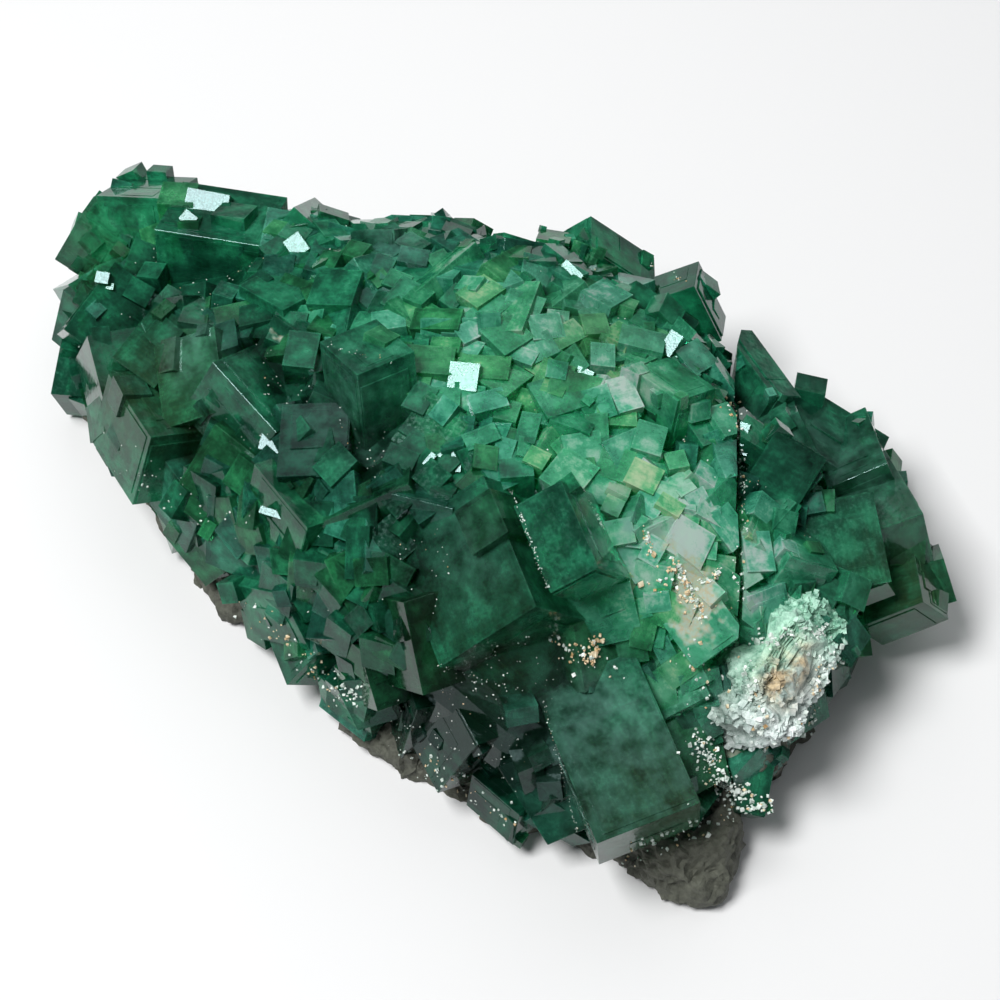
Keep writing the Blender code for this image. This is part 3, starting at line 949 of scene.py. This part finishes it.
def druse_mesh():
    """The quartz: a flattened rough lump, crowded with small grains."""
    bm = bmesh.new()
    add_lump(bm, (0, 0, 0), QUARTZ_SIZE, QUARTZ_LEVEL, QUARTZ_SQUARENESS)
    for vert in bm.verts:
        vert.co.z = min(vert.co.z, QUARTZ_FLAT)
    bm.transform(placed(QUARTZ_CENTRE, QUARTZ_TURN))
    lump = roughened(working_solid("quartz", bm), QUARTZ_LAYERS)
    rng = random.Random(QUARTZ_SEED)
    seats = [vert.co.copy() for vert in rng.sample(list(lump.data.vertices), QUARTZ_GRAINS)]
    grains = []
    for seat in seats:
        bm = bmesh.new()
        add_grain(bm, rng, seat, rng.uniform(*QUARTZ_GRAIN))
        grains.append(working_solid("grain", bm))
    return whole(fuse(lump, grains))


class Look:
    """Node material under construction, with short ways to add its nodes."""

    def __init__(self, name):
        self.material = bpy.data.materials.new(name)
        self.material.use_nodes = True
        self.nodes = self.material.node_tree.nodes
        self.link = self.material.node_tree.links.new
        self.shader = self.nodes["Principled BSDF"]
        self.place = self.node("TexCoord", {}).outputs["Object"]

    def feed(self, socket, value):
        """Link a socket's value, or set it where it is a number or colour."""
        if isinstance(value, bpy.types.NodeSocket):
            self.link(value, socket)
        elif isinstance(value, tuple):
            socket.default_value = value if len(value) == len(socket.default_value) else (*value, 1)
        else:
            socket.default_value = value

    def node(self, kind, sockets, **settings):
        """Add a node with its settings, and feed its sockets by name or number."""
        made = self.nodes.new("ShaderNode" + kind)
        for key, value in settings.items():
            setattr(made, key, value)
        for name, value in sockets.items():
            self.feed(made.inputs[name], value)
        return made

    def attribute(self, name, output="Fac"):
        return self.node("Attribute", {}, attribute_name=name).outputs[output]

    def maths(self, operation, *values, kind="Math"):
        return self.node(kind, dict(enumerate(values)), operation=operation).outputs[0]

    def vectors(self, operation, *values):
        return self.maths(operation, *values, kind="VectorMath")

    def split(self, value):
        return list(self.node("SeparateXYZ", {0: value}).outputs)

    def mix(self, share, low, high):
        return self.node("Mix", {6: low, 7: high, 0: share}, data_type="RGBA").outputs[2]

    def noise(self, scale, detail, roughness=0.5, where=None):
        sockets = {"Vector": where or self.place, "Scale": scale, "Detail": detail,
                   "Roughness": roughness}
        return self.node("TexNoise", sockets).outputs["Fac"]

    def stretch(self, value, low, high, start=0.0, end=1.0):
        """Value turned so that low becomes start and high becomes end."""
        sockets = dict(enumerate((value, low, high, start, end)))
        return self.node("MapRange", sockets).outputs["Result"]

    def centred(self, value, width=0.14):
        """Noise turned so that its usual range, width each side of the middle, becomes -0.5 to 0.5."""
        return self.stretch(value, 0.5 - width, 0.5 + width, -0.5, 0.5)

    def surface(self, settings):
        """Feed the shader's sockets by their names."""
        for name, value in settings.items():
            self.feed(self.shader.inputs[name], value)
        return self.material

    def bump(self, height, distance):
        made = self.node("Bump", {"Height": height, "Distance": distance})
        self.link(made.outputs[0], self.shader.inputs["Normal"])

    def absorb(self, colour, density):
        made = self.node("VolumeAbsorption", {"Color": colour, "Density": density})
        self.link(made.outputs["Volume"], self.nodes["Material Output"].inputs["Volume"])


def fluorite_look():
    """Clear green, cloudy inside, each crystal of its own tone, painted shade deep between the
    crystals, painted highlights at their edges and painted reflections on some faces.
    """
    look = Look("fluorite_green")
    inner = look.attribute("crystal_place", "Vector")
    half = look.attribute("crystal_half", "Vector")
    a, b, c = look.split(look.vectors("SUBTRACT", half, look.vectors("ABSOLUTE", inner)))
    from_edge = look.maths("MAXIMUM", look.maths("MINIMUM", a, b),
                           look.maths("MINIMUM", look.maths("MAXIMUM", a, b), c))
    cloud = look.centred(look.noise(85, 2, 0.6))
    patch = look.centred(look.noise(330, 2, 0.55))
    mottle = look.noise(1700, 3, 0.75)
    speck = look.centred(mottle)
    streak = look.centred(look.noise(1, 2, 0.7, look.vectors("MULTIPLY", inner, STREAK_STRETCH)), 0.12)
    # Painted highlight along the crystals' edges
    rim = look.stretch(from_edge, 0.03, 0.4, 1.0, 0.0)
    middle = look.stretch(from_edge, 0.1, 1.7, -0.5, 0.5)
    inside = look.stretch(look.maths("MULTIPLY_ADD", cloud, 2.5, from_edge), 1.5, 5.0)
    # Painted shade: darker where the surface lies low between the crystals
    painted_crease_shade = look.stretch(look.attribute("height"), -1.3, 0.9, 1.0, 0.0)
    tone = look.attribute("crystal_tone")
    # Lighter or darker by spots: partly the crystals' own tone, partly painted light and shade
    light = look.attribute("glow")
    for part, weight in ((look.maths("SUBTRACT", tone, 0.5), 0.5), (cloud, 0.45), (patch, 0.43),
                         (speck, 0.25), (streak, 0.1), (rim, 0.22), (middle, 0.3),
                         (inside, -0.15), (painted_crease_shade, -0.45)):
        light = look.maths("MULTIPLY_ADD", part, weight, light)
    base = DARKEST_GREEN
    for start, full, colour in GREENS:
        base = look.mix(look.stretch(light, start, full), base, colour)
    hue = look.maths("FRACT", look.maths("MULTIPLY", tone, HUE_TURNS))
    for start, full, share, factors in TINTS:
        tinted = look.vectors("MULTIPLY", base, factors)
        base = look.mix(look.stretch(hue, start, full, 0.0, share), base, tinted)
    # Painted reflection: olive-grey sheen on faces seen at a grazing angle
    olive = look.mix(streak, (0.09, 0.13, 0.04), (0.2, 0.3, 0.1))
    base = look.mix(look.attribute("olive"), base, look.mix(0.6, base, olive))
    # Painted reflection: blue-grey sheen on some large faces
    haze = look.maths("MULTIPLY", look.attribute("haze"), look.stretch(patch, -0.6, 0.5, 0.1, 0.9))
    base = look.mix(haze, base, (0.28, 0.58, 0.5))
    cream = look.maths("MULTIPLY", look.attribute("cream"), look.stretch(patch, -0.5, 0.5, 0.4, 1.7))
    pale = look.mix(look.stretch(speck, -0.5, 0.2), (1.0, 0.86, 0.6), (0.85, 1.0, 0.85))
    look.bump(look.noise(1400, 0), 0.00001)
    look.absorb(BODY_GREEN, BODY_DENSITY)
    return look.surface({
        "Base Color": look.mix(look.stretch(cream, 0.3, 0.5), base, pale),
        "Roughness": look.stretch(mottle, 0.4, 0.65, 0.03, 0.22),
        "Transmission Weight": 0.6,
        "IOR": 1.434,
        "Specular Tint": (0.72, 0.98, 1.0, 1),
        "Specular IOR Level": 0.38,
    })


def rock_look():
    """Brown-grey matrix, pale where the light crystals sit on it."""
    look = Look("matrix_stone")
    patch = look.stretch(look.noise(70, 8, 0.68), 0.38, 0.62)
    grit = look.stretch(look.noise(900, 6, 0.7), 0.35, 0.65)
    stone = look.mix(patch, (0.02, 0.021, 0.015), (0.08, 0.085, 0.062))
    stone = look.mix(look.maths("MULTIPLY", grit, 0.45), stone, (0.2, 0.21, 0.17))
    buried = look.stretch(look.attribute("height"), -3.0, -4.5, 0.0, 0.45)
    pale = look.maths("MAXIMUM", look.stretch(look.attribute("glow"), 0.1, 0.6), buried)
    look.bump(look.noise(1100, 6, 0.65), 0.0003)
    return look.surface({"Base Color": look.mix(pale, stone, (0.6, 0.75, 0.55)),
                         "Roughness": look.stretch(grit, 0, 1, 0.6, 0.9)})


def quartz_look():
    """White granular quartz with a tan iron stain in its middle, painted green light at its rim and
    grey patches that are partly painted shade.
    """
    look = Look("quartz_white")
    blotch = look.stretch(look.noise(260, 7, 0.65), 0.32, 0.52)
    stain = look.maths("MULTIPLY", look.attribute("stain"), blotch)
    grain = look.stretch(look.noise(700, 6, 0.68), 0.36, 0.64)
    base = look.mix(grain, (0.58, 0.7, 0.66), (0.96, 1.0, 1.0))
    # Painted green light at the rim, then grey that is partly painted shade, then the stain
    for share, dark, light in (
        (look.attribute("quartz_green"), (0.1, 0.3, 0.2), (0.5, 0.85, 0.66)),
        (look.attribute("quartz_grey"), (0.05, 0.07, 0.06), (0.5, 0.54, 0.52)),
        (stain, (0.06, 0.04, 0.025), (0.7, 0.56, 0.34)),
    ):
        base = look.mix(share, base, look.mix(grain, dark, light))
    look.bump(look.noise(1800, 4, 0.6), 0.0002)
    return look.surface({"Base Color": base, "Roughness": look.stretch(grain, 0, 1, 0.2, 0.5)})


def grain_look(name, dark, pale):
    """Loose bright grains of one colour."""
    look = Look(name)
    look.bump(look.noise(3000, 3), 0.00005)
    return look.surface({
        "Base Color": look.mix(look.stretch(look.noise(900, 3), 0.35, 0.65), dark, pale),
        "Roughness": look.stretch(look.noise(1500, 3), 0.3, 0.7, 0.15, 0.5),
    })


def floor_look():
    """Plain pale floor."""
    return Look("studio_floor").surface({"Base Color": FLOOR_COLOUR, "Roughness": FLOOR_ROUGHNESS})


def ground_mesh():
    """Wide pale ground that rises all round to a backdrop."""
    bm = bmesh.new()
    rings = []
    for radius, height in GROUND:
        spots = [towards(360 * k / GROUND_SPOKES, 0) * radius for k in range(GROUND_SPOKES)]
        rings.append([bm.verts.new((spot.x, spot.y, height)) for spot in spots])
    bm.faces.new(rings[0])
    for inner, outer in zip(rings, rings[1:]):
        for k in range(GROUND_SPOKES):
            bm.faces.new((inner[k - 1], outer[k - 1], outer[k], inner[k]))
    bmesh.ops.recalc_face_normals(bm, faces=bm.faces)
    return bm


def studio():
    """Pale ground, sky and soft lights."""
    floor = new_object("floor", ground_mesh())
    floor.data.polygons.foreach_set("use_smooth", [True] * len(floor.data.polygons))
    floor.data.materials.append(floor_look())
    world = bpy.data.worlds.new("studio")
    bpy.context.scene.world = world
    world.use_nodes = True
    sky = world.node_tree.nodes["Background"].inputs
    sky["Color"].default_value = SKY_COLOUR
    sky["Strength"].default_value = SKY_STRENGTH
    for light in LIGHTS:
        soft_light(*light)


def soft_light(name, direction, distance, side, power):
    """Square softbox that faces the object."""
    light = bpy.data.lights.new(name, "AREA")
    light.size = side
    light.energy = power
    made = linked(name, light)
    way = towards(*direction)
    made.location = Vector(CAMERA_TARGET) + way * distance
    made.rotation_euler = way.to_track_quat("Z", "Y").to_euler()


def camera():
    """Camera at the photo's viewing angle."""
    lens = bpy.data.cameras.new("photo_view")
    lens.lens = CAMERA_LENS
    lens.sensor_width = CAMERA_SENSOR
    lens.shift_y = CAMERA_SHIFT_Y
    lens.clip_start = CAMERA_CLIP
    made = linked("photo_view", lens)
    made.matrix_world = camera_place()
    bpy.context.scene.camera = made


def all_crystals():
    """Crystals of the main crust and of the part right of the cleft."""
    glints = glint_crystals()
    crust, right = scattered(SCATTER_SEED, SCATTER_TRIES, SCATTER_SPACING,
                             SCATTER_EDGES, medium_box, LARGE_CRYSTALS)
    fine_crust, fine_right = scattered(FINE_SEED, FINE_TRIES, FINE_SPACING,
                                       FINE_EDGES, fine_box, LARGE_CRYSTALS + tuple(glints))
    rng = random.Random(FINE_SEED)
    crust = [crystal for crystal in crust
             if rng.random() < HUMP_KEEP or hump_away(*crystal[0][:2]) > HUMP_EDGE]
    crust = overgrown(crust, *MEDIUM_GROWTH) + fine_crust
    crust += overgrown(CRUST_CRYSTALS[:CLEAN_CRYSTALS], *CLEAN_GROWTH)
    crust += overgrown(CRUST_CRYSTALS[CLEAN_CRYSTALS:], *LARGE_GROWTH)
    right = overgrown(right, *MEDIUM_GROWTH) + fine_right + overgrown(RIGHT_CRYSTALS, *LARGE_GROWTH)
    extra = overgrown([crystal for crystal in extra_crystals() if in_box(crystal)], *MEDIUM_GROWTH)
    return crust + glints + extra, right + glints + extra


def fluorite_piece(name, crystals, side_step, node):
    """One of the two pieces of crystals."""
    fused = fused_crystals(name, crystals, side_step)
    return finished(whole(fused), name, green, node, crystals)


def matrix_piece():
    """The rock, rough all over and cut off flat underneath."""
    even = changed(rock_solid(0), "REMESH", mode="VOXEL", voxel_size=ROCK_VOXEL)
    rock = combine(roughened(even, ROCK_LAYERS), "DIFFERENCE", below(0))
    return finished(whole(rock), "matrix", rock_look(), "matrix_rock")


def loose_grains(trees):
    """White and tan grains on the other pieces."""
    rng = random.Random(GRAIN_SEED)
    grains = line_grains(rng, trees) + dust_grains(rng, trees)
    for name, look_name, is_tan, dark, pale in GRAIN_KINDS:
        look = grain_look(look_name, dark, pale)
        finished(grain_mesh([g for g in grains if g[2] == is_tan]), name, look)


def body_surface():
    """Search tree of the body's smooth outside."""
    shape = mound_mesh(lambda place: 0, 0, None, BODY_MESH)
    shape.normal_update()
    tree = BVHTree.FromBMesh(shape)
    shape.free()
    return tree


working = new_collection("working_solids")
eye_place = camera_place().translation / MM + Vector(MIDDLE)
key_place = (Vector(CAMERA_TARGET) + towards(*KEY_DIRECTION) * KEY_DISTANCE) / MM + Vector(MIDDLE)
solid_trees = [tree_of(node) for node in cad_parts.values()]
body_tree = body_surface()
colour_spots = {name: [(spot_at((x, y)), radius, strength) for x, y, radius, strength in spots]
                for name, spots in SPOTS.items()}
green = fluorite_look()
crust, right = all_crystals()
pieces = [
    fluorite_piece("crystals_main", crust, ("DIFFERENCE", right_side(0)), "fluorite_crust"),
    fluorite_piece("crystals_right", right, ("INTERSECT", right_side(CLEFT_WIDTH)),
                   "fluorite_right_group"),
    matrix_piece(),
    finished(druse_mesh(), "quartz", quartz_look(), "quartz_patch"),
]
loose_grains([tree_of(piece) for piece in pieces])
studio()
camera()
bpy.context.scene.view_settings.view_transform = "Standard"
bpy.context.scene.cycles.max_bounces = BOUNCES
bpy.context.scene.cycles.diffuse_bounces = DIFFUSE_BOUNCES
